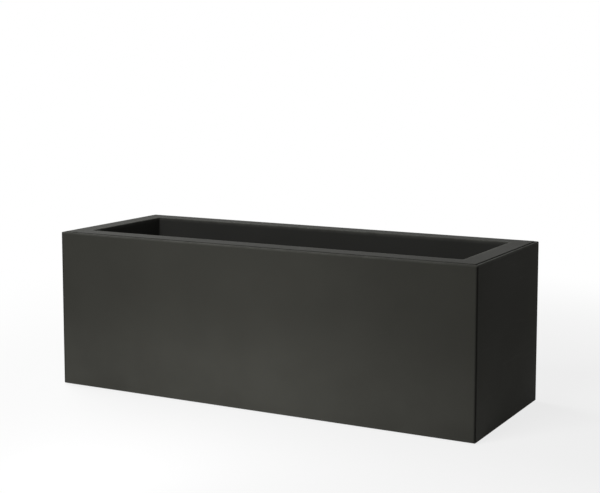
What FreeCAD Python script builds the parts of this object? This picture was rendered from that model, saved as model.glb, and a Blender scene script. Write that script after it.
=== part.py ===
import FreeCAD, Part
import math
import os

# Rectangular plastic planter box: a plain outer casing on rubber feet, and a planting liner whose broad
# flat rim drops in, rests on gussets inside the casing and stands slightly proud of the casing's lip.
# Drainage grids lie in the liner, and drain plugs with seal rings close the casing's base.
# Millimetres, +Z up, +X along the length, front at -Y, origin on the ground under the middle of the box.

# Whole box
LENGTH = 800.0
WIDTH = 295.0
HEIGHT = 282.0

# Outer casing
CASING_WALL = 4.0
CASING_CORNER_RADIUS = 2.5
CASING_INNER_CORNER_RADIUS = 2.0
CASING_LIP_RADIUS = 1.5
CASING_LIP_INNER_RADIUS = 0.8
CASING_BOTTOM_RADIUS = 1.3
GROUND_GAP = 2.0
BASE_RECESS = 6.0
BASE_THICKNESS = 3.0
UNDER_RIB_THICKNESS = 2.5
UNDER_RIB_DEPTH = 4.0
UNDER_RIB_BAY_LENGTH = 160.0
UNDER_RIB_BAY_WIDTH = 97.0

# Gussets that stiffen the casing's walls and carry the liner's rim
GUSSET_THICKNESS = 2.5
GUSSET_FOOT = 6.0
GUSSET_LINER_GAP = 10.0
GUSSETS_PER_SIDE = 5
GUSSETS_PER_END = 2

# Planting liner
RIM_WIDTH = 40.0
RIM_THICKNESS = 3.0
RIM_SEAM = 1.5
RIM_PROUD = 1.0
RIM_EDGE_RADIUS = 0.8
RIM_CORNER_RADIUS = 3.0
OPENING_EDGE_RADIUS = 2.0
OPENING_CORNER_RADIUS = 2.5
LINER_WALL = 3.0
LINER_FLOOR = 3.0
LINER_DRAFT_DEGREES = 1.5
LINER_FLOOR_CORNER_RADIUS = 16.0
LINER_FLOOR_RADIUS = 8.0
SUMP_DEPTH = 40.0
BRACKET_DROP = 36.0
BRACKET_SETBACK = 3.0
BRACKET_THICKNESS = 2.5

# Legs and drain holes under the liner
LEG_RADIUS = 9.0
LEG_WALL = 2.5
LEG_INSET = 45.0
LEG_CLEARANCE = 0.3
LEG_COLUMNS = 3
LINER_HOLE_RADIUS = 5.0
LINER_HOLE_PITCH = 90.0
LINER_HOLE_ROW_SPACING = 60.0
LINER_HOLE_END_MARGIN = 30.0

# Drainage grids, one for each half of the liner
GRID_THICKNESS = 3.0
GRID_SKIRT = 6.0
GRID_SKIRT_WALL = 2.5
GRID_CLEARANCE = 1.5
GRID_SPLIT_GAP = 2.0
GRID_LEG_RADIUS = 6.0
GRID_LEG_INSET = 30.0
GRID_LEG_COLUMNS = 3
SLOT_LENGTH = 28.0
SLOT_WIDTH = 5.0
SLOT_PITCH_LONG = 38.0
SLOT_PITCH_SHORT = 15.0
SLOT_MARGIN = 14.0
FINGER_HOLE_LENGTH = 70.0
FINGER_HOLE_WIDTH = 32.0
SLOT_LAND = 4.0

# Drains in the casing's base, with their plugs and seal rings
DRAIN_SPACING = 360.0
DRAIN_RADIUS = 15.0
DRAIN_COLLAR_WALL = 5.0
DRAIN_COLLAR_DEPTH = 4.0
PLUG_CLEARANCE = 0.15
PLUG_FLANGE_OVERLAP = 4.0
PLUG_FLANGE_THICKNESS = 3.0
PLUG_GRIP_LENGTH = 22.0
PLUG_GRIP_WIDTH = 4.0
PLUG_GRIP_HEIGHT = 9.0
PLUG_EDGE_RADIUS = 1.2
PLUG_CHAMFER = 1.0
SEAL_SECTION = 3.0
SEAL_CLEARANCE = 0.1
GROOVE_CLEARANCE = 0.1

# Rubber feet pressed into blind sockets in the base
FOOT_GROUND_RADIUS = 12.0
FOOT_TOP_RADIUS = 14.0
FOOT_EDGE_RADIUS = 1.5
FOOT_STEM_RADIUS = 4.0
FOOT_STEM_LENGTH = 8.0
FOOT_SOCKET_CLEARANCE = 0.1
FOOT_SOCKET_WALL = 3.0
FOOT_INSET = 40.0
FOOT_RIB_CLEARANCE = 1.5

# How far a cutting solid runs past the face it opens, and the most of a wall that a rounded edge takes
OVERCUT = 1.0
EDGE_SHARE = 0.45
TOLERANCE = 1e-6

# Levels that the pieces share
BASE_UNDER = GROUND_GAP + BASE_RECESS
BASE_TOP = BASE_UNDER + BASE_THICKNESS
RIM_UNDER = HEIGHT - RIM_THICKNESS
LIP_TOP = HEIGHT - RIM_PROUD
FLOOR_UNDER = BASE_TOP + SUMP_DEPTH
FLOOR_TOP = FLOOR_UNDER + LINER_FLOOR
GRID_SKIRT_UNDER = FLOOR_TOP + LINER_FLOOR_RADIUS
GRID_UNDER = GRID_SKIRT_UNDER + GRID_SKIRT
DRAIN_COLLAR_UNDER = BASE_UNDER - DRAIN_COLLAR_DEPTH
SEAL_LEVEL = (DRAIN_COLLAR_UNDER + BASE_TOP) / 2


def vector(x, y, z):
    return FreeCAD.Vector(x, y, z)


def rounded_rectangle(length, width, radius, height, centre_x=0.0):
    """Closed outline with quarter-circle corners, flat at the given height."""
    x = length / 2
    y = width / 2
    slack = radius * (1 - math.sqrt(0.5))
    edges = []
    corners = ((1, 1), (-1, 1), (-1, -1), (1, -1))
    ends = []
    for sx, sy in corners:
        on_end = vector(centre_x + sx * x, sy * (y - radius), height)
        on_side = vector(centre_x + sx * (x - radius), sy * y, height)
        middle = vector(centre_x + sx * (x - slack), sy * (y - slack), height)
        first, last = (on_end, on_side) if sx == sy else (on_side, on_end)
        ends.append((first, last))
        edges.append(Part.Arc(first, middle, last).toShape())
    for index, (_, last) in enumerate(ends):
        following = ends[(index + 1) % len(ends)][0]
        edges.append(Part.LineSegment(last, following).toShape())
    return Part.Wire(Part.__sortEdges__(edges))


def obround(length, width, height, x, y):
    """Closed outline of a slot along X with half-circle ends."""
    radius = width / 2
    run = length / 2 - radius
    right = Part.Arc(vector(x + run, y - radius, height), vector(x + run + radius, y, height),
                     vector(x + run, y + radius, height))
    left = Part.Arc(vector(x - run, y + radius, height), vector(x - run - radius, y, height),
                    vector(x - run, y - radius, height))
    top = Part.LineSegment(right.EndPoint, left.StartPoint)
    bottom = Part.LineSegment(left.EndPoint, right.StartPoint)
    return Part.Wire([right.toShape(), top.toShape(), left.toShape(), bottom.toShape()])


def prism(outline, rise, holes=()):
    face = Part.makeFace([outline, *holes], "Part::FaceMakerBullseye")
    return face.extrude(vector(0, 0, rise))


def cylinder(radius, bottom, top, x, y):
    return Part.makeCylinder(radius, top - bottom, vector(x, y, bottom))


def upright_plate(outline, thickness, offset):
    """Plate standing square to the X axis: outline points are (x, z), thickness lies along Y."""
    front = offset - thickness / 2
    points = [vector(x, front, z) for x, z in outline]
    return Part.Face(Part.makePolygon(points + points[:1])).extrude(vector(0, thickness, 0))


def turned(shape, degrees):
    copy = shape.copy()
    copy.rotate(vector(0, 0, 0), vector(0, 0, 1), degrees)
    return copy


def loop_edges(shape, height, half_length, half_width):
    """Edges that lie flat at a height, on or inside a rectangle."""
    def inside(edge):
        box = edge.BoundBox
        flat = abs(box.ZMin - height) < TOLERANCE and abs(box.ZMax - height) < TOLERANCE
        within_x = max(abs(box.XMin), abs(box.XMax)) < half_length + OVERCUT / 2
        within_y = max(abs(box.YMin), abs(box.YMax)) < half_width + OVERCUT / 2
        return flat and within_x and within_y
    return [edge for edge in shape.Edges if inside(edge)]


def members_for(span, bay):
    """How many members divide a span into bays of about the given size, at least one."""
    return max(round(span / bay) - 1, 1)


def between_ends(count, span):
    """Centres of evenly spaced members that divide a span into equal bays."""
    return [span * ((index + 1) / (count + 1) - 0.5) for index in range(count)]


def end_to_end(count, span):
    """Centres of evenly spaced members, the first and last at the ends of the span."""
    step = span / max(count - 1, 1)
    return [step * (index - (count - 1) / 2) for index in range(count)]


def bays(count, span):
    """Centres of the inner bays between the members that between_ends gives."""
    members = between_ends(count, span)
    return [(low + high) / 2 for low, high in zip(members, members[1:])]


def liner_half(extent, height):
    """Half the liner's inside length or width at a height: it narrows downwards by the draft."""
    draft = math.tan(math.radians(LINER_DRAFT_DEGREES))
    return extent / 2 - RIM_WIDTH - (HEIGHT - height) * draft


def liner_outline(height, outset, radius):
    length = 2 * (liner_half(LENGTH, height) + outset)
    width = 2 * (liner_half(WIDTH, height) + outset)
    return rounded_rectangle(length, width, radius + outset, height)


def drain_centres():
    return {"left": -DRAIN_SPACING / 2, "right": DRAIN_SPACING / 2}


def foot_centres():
    columns = dict(zip(("left", "middle", "right"), end_to_end(3, LENGTH - 2 * FOOT_INSET)))
    rows = dict(zip(("front", "rear"), end_to_end(2, WIDTH - 2 * FOOT_INSET)))
    return {f"{row}_{column}": (columns[column], rows[row]) for row in rows for column in columns}


def wall_plates(outline_for, thickness, places, end_count, side_count):
    """Plates on all four walls: outline_for gives the outline for a box of that depth across."""
    plates = []
    for degrees in (0, 90, 180, 270):
        on_end = degrees % 180 == 0
        depth, run = (LENGTH, WIDTH) if on_end else (WIDTH, LENGTH)
        for offset in places(end_count if on_end else side_count, run):
            plates.append(turned(upright_plate(outline_for(depth), thickness, offset), degrees))
    return plates


def casing_gusset(depth):
    """Tapered gusset from the base up to the underside of the liner's rim."""
    wall_middle = -depth / 2 + CASING_WALL / 2
    inner_face = -depth / 2 + CASING_WALL
    nose = -depth / 2 + RIM_WIDTH - LINER_WALL - GUSSET_LINER_GAP
    root = BASE_TOP - BASE_THICKNESS / 2
    return [(wall_middle, root), (inner_face + GUSSET_FOOT, root),
            (nose, RIM_UNDER), (wall_middle, RIM_UNDER)]


def casing_shell():
    """Open box with a rounded lip, rounded edges and a base set up inside its skirt."""
    lip_radius = min(CASING_LIP_RADIUS, EDGE_SHARE * CASING_WALL)
    lip_inner_radius = min(CASING_LIP_INNER_RADIUS, EDGE_SHARE * CASING_WALL)
    bottom_radius = min(CASING_BOTTOM_RADIUS, EDGE_SHARE * CASING_WALL)
    inner_length = LENGTH - 2 * CASING_WALL
    inner_width = WIDTH - 2 * CASING_WALL
    outline = rounded_rectangle(LENGTH, WIDTH, CASING_CORNER_RADIUS, GROUND_GAP)
    shell = prism(outline, LIP_TOP - GROUND_GAP)
    shell = shell.makeFillet(lip_radius, loop_edges(shell, LIP_TOP, LENGTH / 2, WIDTH / 2))
    shell = shell.makeFillet(bottom_radius, loop_edges(shell, GROUND_GAP, LENGTH / 2, WIDTH / 2))
    well = rounded_rectangle(inner_length, inner_width, CASING_INNER_CORNER_RADIUS, BASE_TOP)
    shell = shell.cut(prism(well, LIP_TOP + OVERCUT - BASE_TOP))
    lip = loop_edges(shell, LIP_TOP, inner_length / 2, inner_width / 2)
    shell = shell.makeFillet(lip_inner_radius, lip)
    recess = rounded_rectangle(inner_length, inner_width, CASING_INNER_CORNER_RADIUS, GROUND_GAP - OVERCUT)
    return shell.cut(prism(recess, BASE_UNDER - GROUND_GAP + OVERCUT))


def under_ribs():
    """Crossed stiffening ribs under the base, cut clear of the feet."""
    bottom = BASE_UNDER - UNDER_RIB_DEPTH
    rise = UNDER_RIB_DEPTH + BASE_THICKNESS / 2
    half_length = (LENGTH - CASING_WALL) / 2
    half_width = (WIDTH - CASING_WALL) / 2
    ribs = []
    for x in between_ends(members_for(LENGTH, UNDER_RIB_BAY_LENGTH), LENGTH):
        corner = vector(x - UNDER_RIB_THICKNESS / 2, -half_width, bottom)
        ribs.append(Part.makeBox(UNDER_RIB_THICKNESS, 2 * half_width, rise, corner))
    for y in between_ends(members_for(WIDTH, UNDER_RIB_BAY_WIDTH), WIDTH):
        corner = vector(-half_length, y - UNDER_RIB_THICKNESS / 2, bottom)
        ribs.append(Part.makeBox(2 * half_length, UNDER_RIB_THICKNESS, rise, corner))
    lattice = ribs[0].multiFuse(ribs[1:])
    foot_room = FOOT_TOP_RADIUS + FOOT_RIB_CLEARANCE
    return lattice.cut([cylinder(foot_room, 0, BASE_UNDER, x, y) for x, y in foot_centres().values()])


def make_outer_casing():
    socket_top = BASE_UNDER + FOOT_STEM_LENGTH + FOOT_SOCKET_CLEARANCE
    socket_radius = FOOT_STEM_RADIUS + FOOT_SOCKET_CLEARANCE
    boss_radius = socket_radius + FOOT_SOCKET_WALL
    added = [under_ribs()]
    added += wall_plates(casing_gusset, GUSSET_THICKNESS, between_ends, GUSSETS_PER_END, GUSSETS_PER_SIDE)
    removed = []
    for x, y in foot_centres().values():
        added.append(cylinder(boss_radius, BASE_UNDER, socket_top + FOOT_SOCKET_WALL, x, y))
        removed.append(cylinder(socket_radius, BASE_UNDER - OVERCUT, socket_top, x, y))
    for x in drain_centres().values():
        added.append(cylinder(DRAIN_RADIUS + DRAIN_COLLAR_WALL, DRAIN_COLLAR_UNDER, BASE_TOP, x, 0))
        removed.append(cylinder(DRAIN_RADIUS, 0, BASE_TOP + OVERCUT, x, 0))
    return casing_shell().multiFuse(added).cut(removed).removeSplitter()


def rim_bracket(depth):
    """Triangular bracket between the liner's wall and the underside of its rim."""
    draft = math.tan(math.radians(LINER_DRAFT_DEGREES))
    wall_middle = -depth / 2 + RIM_WIDTH - LINER_WALL / 2
    nose = -depth / 2 + CASING_WALL + RIM_SEAM + BRACKET_SETBACK
    embed = RIM_UNDER + RIM_THICKNESS / 2
    lower = RIM_UNDER - BRACKET_DROP
    return [(wall_middle, embed), (nose, embed), (nose, RIM_UNDER - BRACKET_SETBACK),
            (wall_middle + BRACKET_DROP * draft, lower)]


def liner_tub():
    """Tapered tub under a flat rim, with rounded opening and floor edges."""
    edge_radius = min(RIM_EDGE_RADIUS, EDGE_SHARE * RIM_THICKNESS)
    inset = CASING_WALL + RIM_SEAM
    outline = rounded_rectangle(LENGTH - 2 * inset, WIDTH - 2 * inset, RIM_CORNER_RADIUS, RIM_UNDER)
    rim = prism(outline, RIM_THICKNESS)
    rim = rim.makeFillet(edge_radius, loop_edges(rim, HEIGHT, LENGTH / 2, WIDTH / 2))
    outside = Part.makeLoft([
        liner_outline(FLOOR_UNDER, LINER_WALL, LINER_FLOOR_CORNER_RADIUS),
        liner_outline(RIM_UNDER + RIM_THICKNESS / 2, LINER_WALL, OPENING_CORNER_RADIUS),
    ], True, True)
    cavity = Part.makeLoft([
        liner_outline(FLOOR_TOP, 0, LINER_FLOOR_CORNER_RADIUS),
        liner_outline(HEIGHT + OVERCUT, 0, OPENING_CORNER_RADIUS),
    ], True, True)
    outside_floor = loop_edges(outside, FLOOR_UNDER, LENGTH / 2, WIDTH / 2)
    outside = outside.makeFillet(LINER_FLOOR_RADIUS + LINER_FLOOR, outside_floor)
    cavity = cavity.makeFillet(LINER_FLOOR_RADIUS, loop_edges(cavity, FLOOR_TOP, LENGTH / 2, WIDTH / 2))
    tub = rim.fuse(outside).cut(cavity)
    opening = loop_edges(tub, HEIGHT, liner_half(LENGTH, HEIGHT), liner_half(WIDTH, HEIGHT))
    return tub.makeFillet(OPENING_EDGE_RADIUS, opening)


def make_inner_liner():
    floor_half_length = liner_half(LENGTH, FLOOR_TOP)
    floor_half_width = liner_half(WIDTH, FLOOR_TOP)
    added = wall_plates(rim_bracket, BRACKET_THICKNESS, bays, GUSSETS_PER_END, GUSSETS_PER_SIDE)
    removed = []
    leg_bottom = BASE_TOP + LEG_CLEARANCE
    for x in end_to_end(LEG_COLUMNS, 2 * (floor_half_length - LEG_INSET)):
        for y in end_to_end(2, 2 * (floor_half_width - LEG_INSET)):
            added.append(cylinder(LEG_RADIUS, leg_bottom, FLOOR_UNDER + LINER_FLOOR / 2, x, y))
            removed.append(cylinder(LEG_RADIUS - LEG_WALL, leg_bottom - OVERCUT, FLOOR_UNDER, x, y))
    hole_span = 2 * (floor_half_length - LINER_HOLE_END_MARGIN)
    hole_count = int(hole_span // LINER_HOLE_PITCH) + 1
    for x in end_to_end(hole_count, (hole_count - 1) * LINER_HOLE_PITCH):
        for y in end_to_end(2, LINER_HOLE_ROW_SPACING):
            removed.append(cylinder(LINER_HOLE_RADIUS, FLOOR_UNDER - OVERCUT, FLOOR_TOP + OVERCUT, x, y))
    return liner_tub().multiFuse(added).cut(removed).removeSplitter()


def slot_outlines(centre_x, length, width, legs):
    """Slots over the whole plate, left out where they would meet a leg or the finger hole."""
    columns = int((length - 2 * SLOT_MARGIN - SLOT_LENGTH) // SLOT_PITCH_LONG) + 1
    rows = int((width - 2 * SLOT_MARGIN - SLOT_WIDTH) // SLOT_PITCH_SHORT) + 1
    blocks = [(x, y, GRID_LEG_RADIUS, GRID_LEG_RADIUS) for x, y in legs]
    blocks.append((centre_x, 0, FINGER_HOLE_LENGTH / 2 + SLOT_LAND, FINGER_HOLE_WIDTH / 2 + SLOT_LAND))
    outlines = []
    for across in end_to_end(columns, (columns - 1) * SLOT_PITCH_LONG):
        for y in end_to_end(rows, (rows - 1) * SLOT_PITCH_SHORT):
            x = centre_x + across
            meets = [abs(x - bx) < half_x + SLOT_LENGTH / 2 and abs(y - by) < half_y + SLOT_WIDTH / 2
                     for bx, by, half_x, half_y in blocks]
            if not any(meets):
                outlines.append(obround(SLOT_LENGTH, SLOT_WIDTH, GRID_UNDER, x, y))
    return outlines


def make_drainage_grid(side):
    """Slotted plate with a skirt and short legs, filling one half of the liner."""
    outer_end = liner_half(LENGTH, GRID_SKIRT_UNDER) - GRID_CLEARANCE
    inner_end = GRID_SPLIT_GAP / 2
    length = outer_end - inner_end
    width = 2 * (liner_half(WIDTH, GRID_SKIRT_UNDER) - GRID_CLEARANCE)
    centre_x = side * (outer_end + inner_end) / 2
    legs = [(centre_x + x, y) for x in end_to_end(GRID_LEG_COLUMNS, length - 2 * GRID_LEG_INSET)
            for y in end_to_end(2, width - 2 * GRID_LEG_INSET)]
    radius = LINER_FLOOR_CORNER_RADIUS
    holes = slot_outlines(centre_x, length, width, legs)
    holes.append(obround(FINGER_HOLE_LENGTH, FINGER_HOLE_WIDTH, GRID_UNDER, centre_x, 0))
    plate = prism(rounded_rectangle(length, width, radius, GRID_UNDER, centre_x), GRID_THICKNESS, holes)
    inside = rounded_rectangle(length - 2 * GRID_SKIRT_WALL, width - 2 * GRID_SKIRT_WALL,
                               radius - GRID_SKIRT_WALL, GRID_SKIRT_UNDER, centre_x)
    skirt = prism(rounded_rectangle(length, width, radius, GRID_SKIRT_UNDER, centre_x), GRID_SKIRT, [inside])
    posts = [cylinder(GRID_LEG_RADIUS, FLOOR_TOP, GRID_UNDER + GRID_THICKNESS / 2, x, y) for x, y in legs]
    return plate.multiFuse([skirt, *posts]).removeSplitter()


def edges_at(shape, height):
    return [edge for edge in shape.Edges
            if max(abs(edge.BoundBox.ZMin - height), abs(edge.BoundBox.ZMax - height)) < TOLERANCE]


def make_drain_plug(x):
    """Push-in plug with a flange that rests on the base, a finger grip and a groove for the seal."""
    shank_radius = DRAIN_RADIUS - PLUG_CLEARANCE
    flange_top = BASE_TOP + PLUG_FLANGE_THICKNESS
    grip_top = flange_top + PLUG_GRIP_HEIGHT
    shank = cylinder(shank_radius, DRAIN_COLLAR_UNDER, BASE_TOP, x, 0)
    shank = shank.makeChamfer(PLUG_CHAMFER, edges_at(shank, DRAIN_COLLAR_UNDER))
    flange = cylinder(DRAIN_RADIUS + PLUG_FLANGE_OVERLAP, BASE_TOP, flange_top, x, 0)
    flange = flange.makeFillet(min(PLUG_EDGE_RADIUS, EDGE_SHARE * PLUG_FLANGE_THICKNESS),
                               edges_at(flange, flange_top))
    grip = prism(obround(PLUG_GRIP_LENGTH, PLUG_GRIP_WIDTH, flange_top, x, 0), PLUG_GRIP_HEIGHT)
    grip = grip.makeFillet(min(PLUG_EDGE_RADIUS, EDGE_SHARE * PLUG_GRIP_WIDTH), edges_at(grip, grip_top))
    floor_radius = DRAIN_RADIUS - SEAL_CLEARANCE - SEAL_SECTION - GROOVE_CLEARANCE
    half_groove = SEAL_SECTION / 2 + GROOVE_CLEARANCE
    groove = cylinder(shank_radius + OVERCUT, SEAL_LEVEL - half_groove, SEAL_LEVEL + half_groove, x, 0)
    core = cylinder(floor_radius, SEAL_LEVEL - half_groove, SEAL_LEVEL + half_groove, x, 0)
    return shank.multiFuse([flange, grip]).cut(groove.cut(core)).removeSplitter()


def make_drain_seal(x):
    centre_radius = DRAIN_RADIUS - SEAL_CLEARANCE - SEAL_SECTION / 2
    return Part.makeTorus(centre_radius, SEAL_SECTION / 2, vector(x, 0, SEAL_LEVEL))


def make_foot(x, y):
    """Tapered rubber pad with a stem that fills its socket in the base."""
    pad = Part.makeCone(FOOT_GROUND_RADIUS, FOOT_TOP_RADIUS, BASE_UNDER, vector(x, y, 0))
    pad = pad.makeFillet(FOOT_EDGE_RADIUS, edges_at(pad, 0))
    stem = cylinder(FOOT_STEM_RADIUS, BASE_UNDER, BASE_UNDER + FOOT_STEM_LENGTH, x, y)
    return pad.fuse(stem).removeSplitter()


def main():
    os.makedirs("parts", exist_ok=True)
    nodes = {
        "outer_casing": make_outer_casing(),
        "inner_liner": make_inner_liner(),
        "drainage_grid_left": make_drainage_grid(-1),
        "drainage_grid_right": make_drainage_grid(1),
    }
    for side, x in drain_centres().items():
        nodes[f"drain_plug_{side}"] = make_drain_plug(x)
        nodes[f"drain_seal_{side}"] = make_drain_seal(x)
    for place, (x, y) in foot_centres().items():
        nodes[f"foot_{place}"] = make_foot(x, y)
    for name, shape in nodes.items():
        box = shape.optimalBoundingBox()
        print(name, len(shape.Solids), shape.isValid(), round(shape.Volume / 1000, 1), "cm3",
              [round(v, 2) for v in (box.XMin, box.XMax, box.YMin, box.YMax, box.ZMin, box.ZMax)])
        shape.exportStep(f"parts/{name}.step")


main()
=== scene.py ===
"""Anthracite plastic planter box: casing on rubber feet, drain plugs, and planting liner with its grids."""
import math

import bpy
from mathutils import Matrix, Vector


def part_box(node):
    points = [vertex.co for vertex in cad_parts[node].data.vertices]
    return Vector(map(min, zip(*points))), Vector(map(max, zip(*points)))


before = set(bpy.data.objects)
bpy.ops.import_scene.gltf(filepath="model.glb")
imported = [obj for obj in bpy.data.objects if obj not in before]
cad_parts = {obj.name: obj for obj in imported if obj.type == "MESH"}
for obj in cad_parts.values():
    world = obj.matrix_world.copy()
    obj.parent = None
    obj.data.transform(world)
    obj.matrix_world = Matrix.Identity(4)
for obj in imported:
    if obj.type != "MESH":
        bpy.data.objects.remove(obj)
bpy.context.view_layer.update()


# Outer casing: the plain box that shows on all four sides, one moulding in satin anthracite polypropylene.
# Its faces keep the mould's spark grain and slow shades from cooling, with faint scuffs, and grow paler
# near the ground. Hands rub the lip and the bottom edge paler, and the lip also carries a painted highlight.
# The upright corners carry painted shade, darker up to just under the lip.
FLOAT = "NodeSocketFloat"
VECTOR = "NodeSocketVector"
COLOR = "NodeSocketColor"

# Places of the colour sockets in a Mix node
MIX_FACTOR = 0
MIX_FIRST = 6
MIX_SECOND = 7
MIX_RESULT = 2


def add(tree, kind, inputs, **settings):
    """One shader node: settings go on the node, and each input takes a value or another node's output."""
    node = tree.nodes.new(kind)
    for label, value in settings.items():
        setattr(node, label, value)
    for label, value in inputs.items():
        if isinstance(value, bpy.types.NodeSocket):
            tree.links.new(value, node.inputs[label])
        else:
            node.inputs[label].default_value = value
    return node


def maths(tree, operation, *values):
    return add(tree, "ShaderNodeMath", dict(enumerate(values)), operation=operation).outputs["Value"]


def mixed(tree, factor, first, second):
    """Colour that goes from the first to the second as the factor goes from 0 to 1."""
    inputs = {MIX_FACTOR: factor, MIX_FIRST: first, MIX_SECOND: second}
    return add(tree, "ShaderNodeMix", inputs, data_type="RGBA").outputs[MIX_RESULT]


def upward(tree, vector):
    """Z of a vector: how high a position lies, or how far a normal looks up."""
    return add(tree, "ShaderNodeSeparateXYZ", {"Vector": vector}).outputs["Z"]


def ramp(tree, value, start, end, before, after):
    """Smooth step of a value: before holds up to the start, and after holds from the end on."""
    inputs = {"Value": value, "From Min": start, "From Max": end, "To Min": before, "To Max": after}
    return add(tree, "ShaderNodeMapRange", inputs, interpolation_type="SMOOTHSTEP").outputs["Result"]


def noise(tree, vector, size, detail):
    """Noise whose features are about as wide as the given size."""
    scale = maths(tree, "DIVIDE", 1.0, size)
    inputs = {"Vector": vector, "Scale": scale, "Detail": detail}
    return add(tree, "ShaderNodeTexNoise", inputs).outputs["Fac"]


def node_group(name, inputs, outputs):
    """Empty shader group with named sockets: its tree, what it is given and the node that puts it out."""
    tree = bpy.data.node_groups.new(name, "ShaderNodeTree")
    for label, kind in inputs.items():
        tree.interface.new_socket(label, in_out="INPUT", socket_type=kind)
    for label, kind in outputs.items():
        tree.interface.new_socket(label, in_out="OUTPUT", socket_type=kind)
    return tree, tree.nodes.new("NodeGroupInput").outputs, tree.nodes.new("NodeGroupOutput").inputs


# Limits of the noise in the effects: its middle range, where it breaks an edge band of wear and painted
# highlight, and the peaks that scuff
NOISE_MIDDLE = (0.3, 0.7)
WEAR_AND_HIGHLIGHT_BREAKS = (0.35, 0.65)
SCUFF_PEAKS = (0.62, 0.74)
WEAR_AND_HIGHLIGHT_PATCH = 0.02
WEAR_AND_HIGHLIGHT_LEAST = 0.6
GRAIN_CELL_SHARE = 0.5


def mould_grain_group():
    """Spark grain of a mould: its height is soft noise plus a share of the distance to a cell's centre."""
    tree, given, put = node_group("mould_grain", {"Vector": VECTOR, "Size": FLOAT}, {"Height": FLOAT})
    scale = maths(tree, "DIVIDE", 1.0, given["Size"])
    cells = add(tree, "ShaderNodeTexVoronoi", {"Vector": given["Vector"], "Scale": scale})
    soft = noise(tree, given["Vector"], given["Size"], detail=2.0)
    height = maths(tree, "MULTIPLY_ADD", cells.outputs["Distance"], GRAIN_CELL_SHARE, soft)
    tree.links.new(height, put["Height"])
    return tree


def cooling_shade_group():
    """Slow shade of a moulding: broad noise from -1 to 1, and the colour times one plus contrast times it."""
    tree, given, put = node_group(
        "cooling_shade", {"Vector": VECTOR, "Size": FLOAT, "Color": COLOR, "Contrast": FLOAT},
        {"Color": COLOR, "Shade": FLOAT})
    broad = noise(tree, given["Vector"], given["Size"], detail=3.0)
    shade = ramp(tree, broad, *NOISE_MIDDLE, before=-1.0, after=1.0)
    gain = maths(tree, "MULTIPLY_ADD", shade, given["Contrast"], 1.0)
    tinted = add(tree, "ShaderNodeVectorMath", {"Vector": given["Color"], "Scale": gain}, operation="SCALE")
    tree.links.new(tinted.outputs["Vector"], put["Color"])
    tree.links.new(shade, put["Shade"])
    return tree


def edge_wear_and_painted_light_group():
    """Mask along the edges of an upright rectangular box for wear, painted highlight and painted shade, from
    1 on the edge to 0 at the reach.

    Loop is near the rectangle's outline at a level: the larger of the distance to the outline and to the
    level, broken by noise. Corner is near an upright edge: the larger of the distances to its two faces.
    """
    tree, given, put = node_group(
        "edge_wear_and_painted_light",
        {"Vector": VECTOR, "Half Length": FLOAT, "Half Width": FLOAT, "Level": FLOAT, "Reach": FLOAT},
        {"Loop": FLOAT, "Corner": FLOAT})
    along, across, up = add(tree, "ShaderNodeSeparateXYZ", {"Vector": given["Vector"]}).outputs
    past_end = maths(tree, "SUBTRACT", maths(tree, "ABSOLUTE", along), given["Half Length"])
    past_side = maths(tree, "SUBTRACT", maths(tree, "ABSOLUTE", across), given["Half Width"])
    outline = maths(tree, "ABSOLUTE", maths(tree, "MAXIMUM", past_end, past_side))
    level = maths(tree, "ABSOLUTE", maths(tree, "SUBTRACT", up, given["Level"]))
    corner = maths(tree, "MAXIMUM", maths(tree, "ABSOLUTE", past_end), maths(tree, "ABSOLUTE", past_side))
    patches = noise(tree, given["Vector"], WEAR_AND_HIGHLIGHT_PATCH, detail=4.0)
    broken = ramp(tree, patches, *WEAR_AND_HIGHLIGHT_BREAKS, before=WEAR_AND_HIGHLIGHT_LEAST, after=1.0)
    loop = ramp(tree, maths(tree, "MAXIMUM", outline, level), 0.0, given["Reach"], before=1.0, after=0.0)
    tree.links.new(maths(tree, "MULTIPLY", loop, broken), put["Loop"])
    tree.links.new(ramp(tree, corner, 0.0, given["Reach"], before=1.0, after=0.0), put["Corner"])
    return tree


def scuff_group():
    """Handling scuffs: noise drawn out level, longer than it is tall, kept only where it is highest."""
    tree, given, put = node_group(
        "scuffs", {"Vector": VECTOR, "Length": FLOAT, "Breadth": FLOAT}, {"Mask": FLOAT})
    stretch = add(tree, "ShaderNodeCombineXYZ",
                  {"X": given["Length"], "Y": given["Length"], "Z": given["Breadth"]}).outputs["Vector"]
    drawn = add(tree, "ShaderNodeVectorMath", {0: given["Vector"], 1: stretch}, operation="DIVIDE")
    streaks = noise(tree, drawn.outputs["Vector"], 1.0, detail=2.0)
    tree.links.new(ramp(tree, streaks, *SCUFF_PEAKS, before=0.0, after=1.0), put["Mask"])
    return tree


MOULD_GRAIN = mould_grain_group()
COOLING_SHADE = cooling_shade_group()
EDGE_WEAR_AND_PAINTED_LIGHT = edge_wear_and_painted_light_group()
SCUFFS = scuff_group()


def new_material(name, **constants):
    """Material with the given constants on its shader: also its tree, shader and object position."""
    material = bpy.data.materials.new(name)
    material.use_nodes = True
    tree = material.node_tree
    shader = tree.nodes["Principled BSDF"]
    for label, value in constants.items():
        shader.inputs[label.replace("_", " ")].default_value = value
    position = tree.nodes.new("ShaderNodeTexCoord").outputs["Object"]
    return material, tree, shader, position


def place(tree, group, position, **values):
    """A shared effect placed in a material with its own values: what it puts out."""
    inputs = {label.replace("_", " "): value for label, value in values.items()}
    return add(tree, "ShaderNodeGroup", {"Vector": position, **inputs}, node_tree=group).outputs


def outline_inside(corner, margin=0.0):
    """Half sizes of the rectangle that lies a margin inside the one with the given corner."""
    return {"Half_Length": corner[0] - margin, "Half_Width": corner[1] - margin}


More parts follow.
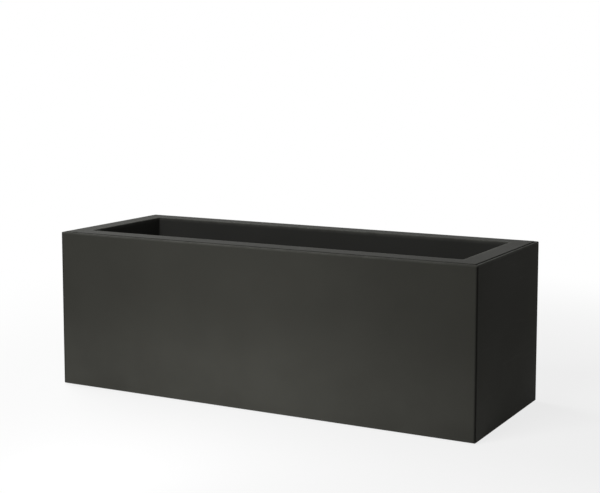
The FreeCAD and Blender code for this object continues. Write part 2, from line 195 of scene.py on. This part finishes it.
def moulded(tree, shader, position, color, roughness, grain_size, grain_depth):
    """Gives a shader its colour and roughness, and mould grain of the given size and depth as bump."""
    grain = place(tree, MOULD_GRAIN, position, Size=grain_size)["Height"]
    bump = add(tree, "ShaderNodeBump", {"Height": grain, "Strength": 1.0, "Distance": grain_depth})
    tree.links.new(color, shader.inputs["Base Color"])
    tree.links.new(roughness, shader.inputs["Roughness"])
    tree.links.new(bump.outputs["Normal"], shader.inputs["Normal"])


def dress(material, *names):
    for name in names:
        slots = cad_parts[name].data.materials
        slots.clear()
        slots.append(material)


ANTHRACITE = (0.0364, 0.0361, 0.0312, 1.0)
# Pale of worn edges, also used as a painted highlight on the lip and on the edge of the opening
WORN_AND_HIGHLIGHT_ANTHRACITE = (0.095, 0.096, 0.087, 1.0)
# Painted shade: nearly black colour painted along the upright corners
CORNER_SHADE_ANTHRACITE = (0.004, 0.004, 0.0035, 1.0)
# Paler colour that the casing takes towards the ground
GROUND_PALE = (0.098, 0.098, 0.086, 1.0)
CASING_GLOSS = 0.04
CASING_ROUGHNESS = 0.7
SHADE_CONTRAST = 0.07
SHADE_ROUGHNESS = 0.03
SCUFF_POLISH = 0.05
RUB_POLISH = 0.06
GRAIN_SIZE = 0.0008
GRAIN_DEPTH = 0.00002
LIP_HALF_WIDTH = 0.002
LIP_REACH = 0.004
# Strength of the lip's pale band: wear, and a painted highlight on its rounded edge
LIP_RUB_AND_HIGHLIGHT = 0.72
EDGE_REACH = 0.0025
BOTTOM_RUB = 0.22
CORNER_REACH = 0.005
# Strength of the painted shade on the upright corners
CORNER_PAINTED_SHADE = 0.9
PALE_TOP = 0.20
PALE_MOST = 0.27
PALE_PATCH = 0.06
PALE_DRIFT = 0.15
casing_low, casing_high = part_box("outer_casing")

casing_plastic, tree, shader, position = new_material("casing_plastic", Specular_IOR_Level=CASING_GLOSS)
shade = place(tree, COOLING_SHADE, position, Size=0.22, Color=ANTHRACITE, Contrast=SHADE_CONTRAST)
scuffs = place(tree, SCUFFS, position, Length=0.09, Breadth=0.004)["Mask"]
# Pale band along the lip: wear, and a painted highlight on its rounded edge
lip_rub_and_highlight = place(tree, EDGE_WEAR_AND_PAINTED_LIGHT, position, **outline_inside(casing_high, LIP_HALF_WIDTH),
                Level=casing_high[2], Reach=LIP_REACH)["Loop"]
bottom_rub = place(tree, EDGE_WEAR_AND_PAINTED_LIGHT, position, **outline_inside(casing_high),
                   Level=casing_low[2], Reach=EDGE_REACH)["Loop"]
# Lip and bottom edge paler: wear, with a painted highlight on the lip
wear_and_highlight = maths(tree, "MAXIMUM", maths(tree, "MULTIPLY", lip_rub_and_highlight, LIP_RUB_AND_HIGHLIGHT),
            maths(tree, "MULTIPLY", bottom_rub, BOTTOM_RUB))
height = upward(tree, position)
corner = place(tree, EDGE_WEAR_AND_PAINTED_LIGHT, position, **outline_inside(casing_high),
               Level=casing_high[2], Reach=CORNER_REACH)["Corner"]
below_lip = ramp(tree, height, casing_high[2] - EDGE_REACH, casing_high[2], before=CORNER_PAINTED_SHADE, after=0.0)
# Paler towards the ground, in patches
near_ground = ramp(tree, height, casing_low[2], PALE_TOP, before=PALE_MOST, after=0.0)
drift = ramp(tree, noise(tree, position, PALE_PATCH, detail=5.0), *NOISE_MIDDLE,
             before=1.0 - PALE_DRIFT, after=1.0 + PALE_DRIFT)
toned = mixed(tree, maths(tree, "MULTIPLY", near_ground, drift), shade["Color"], GROUND_PALE)
# Painted shade: darker along the upright corners, up to just under the lip
corner_shaded = mixed(tree, maths(tree, "MULTIPLY", corner, below_lip), toned, CORNER_SHADE_ANTHRACITE)
worn_and_highlit = mixed(tree, wear_and_highlight, corner_shaded, WORN_AND_HIGHLIGHT_ANTHRACITE)
roughness = maths(tree, "MULTIPLY_ADD", shade["Shade"], SHADE_ROUGHNESS, CASING_ROUGHNESS)
roughness = maths(tree, "MULTIPLY_ADD", scuffs, -SCUFF_POLISH, roughness)
roughness = maths(tree, "MULTIPLY_ADD", wear_and_highlight, -RUB_POLISH, roughness)
moulded(tree, shader, position, worn_and_highlit, roughness, GRAIN_SIZE, GRAIN_DEPTH)
dress(casing_plastic, "outer_casing")


# Rubber feet: six tapered pads moulded in dark grey rubber, each pushed by its stem into a blind socket.
# The pad's lower edge is greyed by the ground that it stands on.
FOOT_RUBBER = (0.016, 0.016, 0.016, 1.0)
FOOT_GREYED = (0.11, 0.105, 0.095, 1.0)
FOOT_GREY_TOP = 0.003
FOOT_GREY_MOST = 0.5
FOOT_GREY_PATCH = 0.002
FOOT_ROUGHNESS = 0.8
FOOT_ROUGHNESS_SHADE = 0.05


def nodes_named(start):
    return [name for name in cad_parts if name.startswith(start)]


foot_rubber, tree, shader, position = new_material("foot_rubber", Specular_IOR_Level=0.3)
shade = place(tree, COOLING_SHADE, position, Size=0.012, Color=FOOT_RUBBER, Contrast=0.15)
on_ground = ramp(tree, upward(tree, position), 0.0, FOOT_GREY_TOP, before=FOOT_GREY_MOST, after=0.0)
greyed = maths(tree, "MULTIPLY", on_ground, noise(tree, position, FOOT_GREY_PATCH, detail=3.0))
color = mixed(tree, greyed, shade["Color"], FOOT_GREYED)
roughness = maths(tree, "MULTIPLY_ADD", shade["Shade"], FOOT_ROUGHNESS_SHADE, FOOT_ROUGHNESS)
moulded(tree, shader, position, color, roughness, grain_size=0.0005, grain_depth=0.00003)
dress(foot_rubber, *nodes_named("foot_"))


# Drain plugs: two push-in plugs in smooth black polypropylene, with a flange on the base and a finger grip.
# Fingers leave the grip and flange slightly scuffed.
PLUG_BLACK = (0.013, 0.013, 0.013, 1.0)
PLUG_SCUFFED = (0.035, 0.035, 0.034, 1.0)
PLUG_SCUFF_MOST = 0.5
PLUG_ROUGHNESS = 0.42
PLUG_SCUFF_ROUGHNESS = 0.2
plug_plastic, tree, shader, position = new_material("plug_plastic", Specular_IOR_Level=0.45)
shade = place(tree, COOLING_SHADE, position, Size=0.015, Color=PLUG_BLACK, Contrast=0.12)
scuffs = place(tree, SCUFFS, position, Length=0.008, Breadth=0.0006)["Mask"]
color = mixed(tree, maths(tree, "MULTIPLY", scuffs, PLUG_SCUFF_MOST), shade["Color"], PLUG_SCUFFED)
roughness = maths(tree, "MULTIPLY_ADD", scuffs, PLUG_SCUFF_ROUGHNESS, PLUG_ROUGHNESS)
moulded(tree, shader, position, color, roughness, grain_size=0.0006, grain_depth=0.00001)
dress(plug_plastic, *nodes_named("drain_plug_"))


# Seal rings: two moulded rubber rings in the plugs' grooves, squeezed in the drains of the base.
# Each has the fine flash line of its mould round its widest diameter.
SEAL_BLACK = (0.010, 0.010, 0.010, 1.0)
FLASH_GREY = (0.03, 0.03, 0.03, 1.0)
FLASH_HALF_HEIGHT = 0.00015
FLASH_MOST = 0.6
SEAL_ROUGHNESS = 0.55
FLASH_ROUGHNESS = 0.15
seal_low, seal_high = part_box("drain_seal_left")
seal_middle = (seal_low[2] + seal_high[2]) / 2
seal_rubber, tree, shader, position = new_material("seal_rubber", Specular_IOR_Level=0.35)
shade = place(tree, COOLING_SHADE, position, Size=0.006, Color=SEAL_BLACK, Contrast=0.2)
from_flash = maths(tree, "ABSOLUTE", maths(tree, "SUBTRACT", upward(tree, position), seal_middle))
flash = ramp(tree, from_flash, 0.0, FLASH_HALF_HEIGHT, before=FLASH_MOST, after=0.0)
color = mixed(tree, flash, shade["Color"], FLASH_GREY)
roughness = maths(tree, "MULTIPLY_ADD", flash, FLASH_ROUGHNESS, SEAL_ROUGHNESS)
moulded(tree, shader, position, color, roughness, grain_size=0.0003, grain_depth=0.00001)
dress(seal_rubber, *nodes_named("drain_seal_"))


# Planting liner: the tub with the broad flat rim, moulded in the casing's plastic with a smoother face,
# which drops in and rests on gussets. The rim's top is greyed by fine dust, and its outer edge is rubbed
# paler by hands and tools. The edge of its opening carries a painted highlight.
RIM_WIDTH = 0.040
LINER_GREY = (0.042, 0.042, 0.039, 1.0)
LINER_GLOSS = 0.03
LINER_ROUGHNESS = 0.62
LINER_SCUFF_POLISH = 0.04
RIM_GREY = (0.040, 0.040, 0.035, 1.0)
RIM_DUST_LEAST = 0.55
RIM_DUST_DEPTHS = (0.004, 0.001)
OUTER_RUB = 0.14
OUTER_REACH = 0.004
# Strength of the painted highlight along the edge of the opening
OPENING_HIGHLIGHT = 0.8
OPENING_REACH = 0.008
LOOKING_UP = (0.7, 1.0)
DUST_PATCHES = (0.4, 0.75)


def settled_dust_group():
    """Dust on faces that look up: how far the normal points up, times soft noise."""
    tree, given, put = node_group("settled_dust", {"Vector": VECTOR, "Size": FLOAT}, {"Mask": FLOAT})
    normal = tree.nodes.new("ShaderNodeNewGeometry").outputs["Normal"]
    level = ramp(tree, upward(tree, normal), *LOOKING_UP, before=0.0, after=1.0)
    patches = noise(tree, given["Vector"], given["Size"], detail=5.0)
    drift = ramp(tree, patches, *DUST_PATCHES, before=0.0, after=1.0)
    tree.links.new(maths(tree, "MULTIPLY", level, drift), put["Mask"])
    return tree


SETTLED_DUST = settled_dust_group()
_, liner_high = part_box("inner_liner")
liner_plastic, tree, shader, position = new_material("liner_plastic", Specular_IOR_Level=LINER_GLOSS)
shade = place(tree, COOLING_SHADE, position, Size=0.18, Color=LINER_GREY, Contrast=SHADE_CONTRAST)
scuffs = place(tree, SCUFFS, position, Length=0.07, Breadth=0.004)["Mask"]
outer_rub = place(tree, EDGE_WEAR_AND_PAINTED_LIGHT, position, **outline_inside(liner_high),
                  Level=liner_high[2], Reach=OUTER_REACH)["Loop"]
# Painted highlight along the edge of the opening
opening_highlight = place(tree, EDGE_WEAR_AND_PAINTED_LIGHT, position, **outline_inside(casing_high, RIM_WIDTH),
                    Level=liner_high[2], Reach=OPENING_REACH)["Loop"]
# Outer edge paler from wear, and the edge of the opening paler as a painted highlight
wear_and_highlight = maths(tree, "MAXIMUM", maths(tree, "MULTIPLY", outer_rub, OUTER_RUB),
            maths(tree, "MULTIPLY", opening_highlight, OPENING_HIGHLIGHT))
dust_from, dust_full = (liner_high[2] - depth for depth in RIM_DUST_DEPTHS)
rim_top = ramp(tree, upward(tree, position), dust_from, dust_full, before=0.0, after=1.0)
settled = maths(tree, "MULTIPLY_ADD", place(tree, SETTLED_DUST, position, Size=0.03)["Mask"],
                1.0 - RIM_DUST_LEAST, RIM_DUST_LEAST)
toned = mixed(tree, maths(tree, "MULTIPLY", settled, rim_top), shade["Color"], RIM_GREY)
worn_and_highlit = mixed(tree, wear_and_highlight, toned, WORN_AND_HIGHLIGHT_ANTHRACITE)
roughness = maths(tree, "MULTIPLY_ADD", shade["Shade"], SHADE_ROUGHNESS, LINER_ROUGHNESS)
roughness = maths(tree, "MULTIPLY_ADD", scuffs, -LINER_SCUFF_POLISH, roughness)
moulded(tree, shader, position, worn_and_highlit, roughness, GRAIN_SIZE, GRAIN_DEPTH)
dress(liner_plastic, "inner_liner")


# Drainage grids: two slotted plates in matt black recycled polypropylene, laid loose on the liner's floor.
# The recycled plastic is speckled with paler flakes, and fine dust settles on the top faces.
GRID_BLACK = (0.017, 0.017, 0.0165, 1.0)
FLAKE_GREY = (0.055, 0.055, 0.052, 1.0)
FLAKE_SIZE = 0.0025
FLAKE_EDGE = (0.08, 0.2)
FLAKE_MOST = 0.6
GRID_DUST = (0.10, 0.095, 0.085, 1.0)
GRID_DUST_MOST = 0.25
GRID_ROUGHNESS = 0.7
GRID_DUST_ROUGHNESS = 0.3
grid_plastic, tree, shader, position = new_material("grid_plastic", Specular_IOR_Level=0.3)
shade = place(tree, COOLING_SHADE, position, Size=0.08, Color=GRID_BLACK, Contrast=0.1)
flakes = add(tree, "ShaderNodeTexVoronoi", {"Vector": position, "Scale": 1.0 / FLAKE_SIZE})
flake = ramp(tree, flakes.outputs["Distance"], *FLAKE_EDGE, before=FLAKE_MOST, after=0.0)
speckled = mixed(tree, flake, shade["Color"], FLAKE_GREY)
dust = maths(tree, "MULTIPLY", place(tree, SETTLED_DUST, position, Size=0.05)["Mask"], GRID_DUST_MOST)
color = mixed(tree, dust, speckled, GRID_DUST)
roughness = maths(tree, "MULTIPLY_ADD", dust, GRID_DUST_ROUGHNESS, GRID_ROUGHNESS)
moulded(tree, shader, position, color, roughness, grain_size=0.001, grain_depth=0.00004)
dress(grid_plastic, *nodes_named("drainage_grid_"))


# Floor: a matt white sheet that keeps a light shadow of the box and is plain white further off.
# From below it can be looked through.
WHITE = (1.0, 1.0, 1.0, 1.0)
FLOOR_WHITE = (0.9, 0.9, 0.9, 1.0)
FLOOR_REACH = 30.0
WHITE_FROM = 0.6
WHITE_AT = 1.5
WHITE_NEAR = 0.8


def seen_directly(tree):
    """1 for what the camera sees, itself or in gloss or glass, and 0 for light that falls on the box."""
    path = tree.nodes.new("ShaderNodeLightPath").outputs
    straight = maths(tree, "MAXIMUM", path["Is Camera Ray"], path["Is Glossy Ray"])
    return maths(tree, "MAXIMUM", straight, path["Is Transmission Ray"])


def either(tree, factor, first, second):
    """Shader that goes from the first to the second as the factor goes from 0 to 1."""
    return add(tree, "ShaderNodeMixShader", {0: factor, 1: first, 2: second}).outputs["Shader"]


floor_white, tree, shader, position = new_material("floor_white", Roughness=1.0, Specular_IOR_Level=0.0)
paper = place(tree, COOLING_SHADE, position, Size=0.4, Color=FLOOR_WHITE, Contrast=0.004)
tree.links.new(paper["Color"], shader.inputs["Base Color"])
radius = add(tree, "ShaderNodeVectorMath", {"Vector": position}, operation="LENGTH").outputs["Value"]
whitened = maths(tree, "MULTIPLY", ramp(tree, radius, WHITE_FROM, WHITE_AT, before=WHITE_NEAR, after=1.0),
                 seen_directly(tree))
glow = add(tree, "ShaderNodeEmission", {"Color": WHITE, "Strength": 1.0}).outputs["Emission"]
lit = either(tree, whitened, shader.outputs["BSDF"], glow)
below = tree.nodes.new("ShaderNodeNewGeometry").outputs["Backfacing"]
clear = tree.nodes.new("ShaderNodeBsdfTransparent").outputs["BSDF"]
tree.links.new(either(tree, below, lit, clear), tree.nodes["Material Output"].inputs["Surface"])
floor_corners = [(x * FLOOR_REACH, y * FLOOR_REACH, 0.0) for x, y in ((-1, -1), (1, -1), (1, 1), (-1, 1))]
floor_mesh = bpy.data.meshes.new("floor")
floor_mesh.from_pydata(floor_corners, [], [(0, 1, 2, 3)])
floor_mesh.materials.append(floor_white)
floor = bpy.data.objects.new("floor", floor_mesh)
bpy.context.scene.collection.objects.link(floor)


# Studio light: a large softbox high on the left, a second one high in front, a small weak one close to
# the middle of the front face, and a white room that gives little light of its own.
ROOM_LIGHT = 0.03


def softbox(name, place_at, aim_at, size, watts, beam=180.0):
    lamp = bpy.data.lights.new(name, "AREA")
    lamp.size = size
    lamp.energy = watts
    lamp.spread = math.radians(beam)
    box = bpy.data.objects.new(name, lamp)
    bpy.context.scene.collection.objects.link(box)
    box.location = place_at
    box.rotation_euler = (Vector(aim_at) - Vector(place_at)).to_track_quat("-Z", "Y").to_euler()
    box.visible_camera = False


softbox("left_softbox", place_at=(-1.5, 0.45, 1.45), aim_at=(-0.2, 0.0, 0.2), size=1.2, watts=25.0)
softbox("front_softbox", place_at=(-0.2, -1.6, 1.6), aim_at=(-0.1, 0.0, 0.2), size=1.0, watts=24.5)
softbox("low_softbox", place_at=(-0.04, -0.8, 0.2), aim_at=(-0.04, -0.15, 0.13), size=0.16, watts=0.66,
        beam=105.0)
room = bpy.data.worlds.new("room")
bpy.context.scene.world = room
room.use_nodes = True
tree = room.node_tree
background = tree.nodes["Background"]
background.inputs["Color"].default_value = WHITE
tree.links.new(maths(tree, "MAXIMUM", seen_directly(tree), ROOM_LIGHT), background.inputs["Strength"])


# Camera: low in front and off the right end, at the photograph's viewing angle. It looks slightly down, and
# a small shift of the lens sets the box as high in the frame as the photograph does.
PHOTO_WIDTH = 600
FOCAL_PIXELS = 1301.8
VIEW_YAW = math.radians(28.43)
VIEW_PITCH = math.radians(6.25)
VIEW_SHIFT = -0.08
VIEW_FROM = (1.0940, -1.9982, 0.5980)
camera_data = bpy.data.cameras.new("photo_camera")
camera_data.lens = FOCAL_PIXELS / PHOTO_WIDTH * camera_data.sensor_width
camera_data.shift_y = VIEW_SHIFT
camera = bpy.data.objects.new("photo_camera", camera_data)
bpy.context.scene.collection.objects.link(camera)
camera.location = VIEW_FROM
camera.rotation_euler = (math.pi / 2 - VIEW_PITCH, 0.0, VIEW_YAW)
bpy.context.scene.camera = camera
bpy.context.scene.view_settings.view_transform = "Standard"
